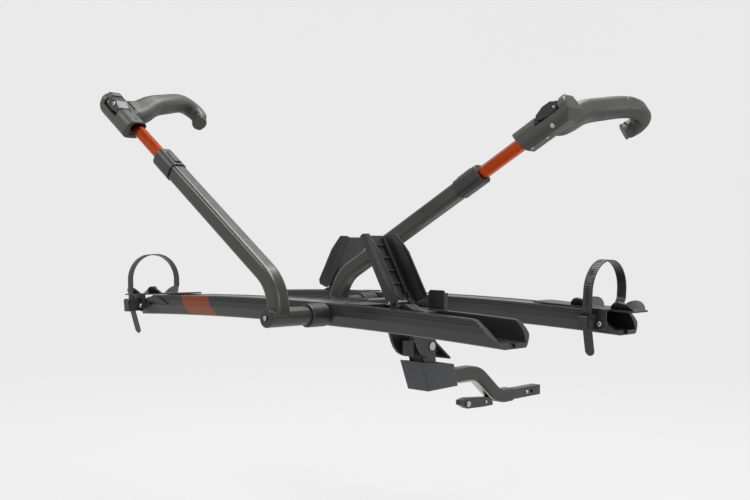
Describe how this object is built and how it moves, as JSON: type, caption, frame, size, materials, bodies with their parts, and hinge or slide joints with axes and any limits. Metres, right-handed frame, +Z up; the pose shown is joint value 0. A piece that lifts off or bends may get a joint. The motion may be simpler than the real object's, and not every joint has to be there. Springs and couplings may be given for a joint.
{
  "type": "hitch mounted bike rack",
  "caption": "Hitch mounted platform bike rack with wheel trays, swinging wheel arms, folding front cradles and a tilting bracket.",
  "frame": {"origin": "centre of the hitch pin hole in the shank", "axes": "+X along the wheel trays, +Y forwards into the receiver, +Z up"},
  "size_m": [1.4507, 1.2985, 0.9437],
  "materials": {
    "grey_coat": "dark satin coating",
    "steel_coat": "satin",
    "black_plastic": "matt",
    "orange_coat": "gloss",
    "zinc_steel": "semi-gloss",
    "rubber": "matt"
  },
  "bodies": {
    "hitch": {"shank": "steel_coat", "shank_bolt": "zinc_steel", "tongue_tube": "steel_coat", "pivot_head": "steel_coat", "pivot_housing": "black_plastic", "tilt_pin": "zinc_steel", "pedal_pin": "zinc_steel", "lock_strap": "zinc_steel", "lock_bar": "steel_coat", "lock_bolts": "zinc_steel"},
    "pedal": {"foot_pedal": "black_plastic"},
    "rack": {"spine": "steel_coat", "spine_cover": "black_plastic", "tilt_bracket": "steel_coat", "near_tray": "grey_coat", "near_tray_end_trims": "black_plastic", "near_pivot_hub": "black_plastic", "near_pivot_collar": "black_plastic", "near_channel_cover": "black_plastic", "near_cradle_base": "black_plastic", "near_cradle_pin": "zinc_steel", "near_cradle_latch": "steel_coat", "far_tray": "grey_coat", "far_tray_end_trims": "black_plastic", "far_pivot_hub": "black_plastic", "far_pivot_collar": "black_plastic", "far_channel_cover": "black_plastic", "far_cradle_base": "black_plastic", "far_cradle_pin": "zinc_steel", "far_cradle_latch": "steel_coat"},
    "near_arm": {"near_pivot_tube": "grey_coat", "near_pivot_cap": "black_plastic", "near_arm_tube": "grey_coat", "near_arm_collar": "black_plastic"},
    "near_arm_end": {"near_inner_tube": "orange_coat", "near_hook_head": "black_plastic", "near_lever_pin": "zinc_steel", "near_wheel_hook": "rubber"},
    "near_lever": {"near_release_lever": "black_plastic"},
    "near_cradle": {"near_wheel_cradle": "black_plastic"},
    "near_saddle": {"near_strap_saddle": "black_plastic", "near_wheel_strap": "rubber", "near_strap_buckle": "black_plastic"},
    "near_buckle": {"near_buckle_lever": "black_plastic"},
    "far_arm": {"far_pivot_tube": "grey_coat", "far_pivot_cap": "black_plastic", "far_arm_tube": "grey_coat", "far_arm_collar": "black_plastic"},
    "far_arm_end": {"far_inner_tube": "orange_coat", "far_hook_head": "black_plastic", "far_lever_pin": "zinc_steel", "far_wheel_hook": "rubber"},
    "far_lever": {"far_release_lever": "black_plastic"},
    "far_cradle": {"far_wheel_cradle": "black_plastic"},
    "far_saddle": {"far_strap_saddle": "black_plastic", "far_wheel_strap": "rubber", "far_strap_buckle": "black_plastic"},
    "far_buckle": {"far_buckle_lever": "black_plastic"}
  },
  "joints": [
    {"name": "rack_tilt", "type": "hinge", "parent": "hitch", "child": "rack", "pos_m": [0, -0.552, 0.19], "axis": [-1, 0, 0], "range_deg": [-15, 66]},
    {"name": "pedal_press", "type": "hinge", "parent": "hitch", "child": "pedal", "pos_m": [0, -0.514, 0.19], "axis": [-1, 0, 0], "range_deg": [0, 12], "stiffness_Nm_per_rad": 1, "springref_deg": -5.73},
    {"name": "near_arm_swing", "type": "hinge", "parent": "rack", "child": "near_arm", "pos_m": [0.14, -1.2055, 0.31], "axis": [0, 1, 0], "range_deg": [-18, 100]},
    {"name": "near_arm_reach", "type": "slide", "parent": "near_arm", "child": "near_arm_end", "axis": [-0.8241, 0, 0.5664], "range_m": [-0.1, 0.1]},
    {"name": "near_lever_lift", "type": "hinge", "parent": "near_arm_end", "child": "near_lever", "pos_m": [-0.5428, -1.2055, 0.86664], "axis": [0, -1, 0], "range_deg": [0, 12]},
    {"name": "near_cradle_fold", "type": "hinge", "parent": "rack", "child": "near_cradle", "pos_m": [0.344, -1.011, 0.348], "axis": [0, 1, 0], "range_deg": [-58, 8]},
    {"name": "near_saddle_slide", "type": "slide", "parent": "rack", "child": "near_saddle", "axis": [0.9987, 0, 0.0512], "range_m": [0, 0.16]},
    {"name": "near_buckle_open", "type": "hinge", "parent": "near_saddle", "child": "near_buckle", "pos_m": [-0.65705, -1.101, 0.30668], "axis": [-0.9987, 0, -0.0512], "range_deg": [0, 65]},
    {"name": "far_arm_swing", "type": "hinge", "parent": "rack", "child": "far_arm", "pos_m": [-0.14, -0.7395, 0.31], "axis": [0, -1, 0], "range_deg": [-14, 100]},
    {"name": "far_arm_reach", "type": "slide", "parent": "far_arm", "child": "far_arm_end", "axis": [0.8746, 0, 0.4848], "range_m": [-0.1, 0.1]},
    {"name": "far_lever_lift", "type": "hinge", "parent": "far_arm_end", "child": "far_lever", "pos_m": [0.59301, -0.7395, 0.79864], "axis": [0, 1, 0], "range_deg": [0, 12]},
    {"name": "far_cradle_fold", "type": "hinge", "parent": "rack", "child": "far_cradle", "pos_m": [-0.344, -0.545, 0.348], "axis": [0, -1, 0], "range_deg": [-58, 8]},
    {"name": "far_saddle_slide", "type": "slide", "parent": "rack", "child": "far_saddle", "axis": [0.9989, 0, -0.0464], "range_m": [-0.14, 0.05]},
    {"name": "far_buckle_open", "type": "hinge", "parent": "far_saddle", "child": "far_buckle", "pos_m": [0.59586, -0.635, 0.30967], "axis": [-0.9989, 0, 0.0464], "range_deg": [0, 65]}
  ]
}
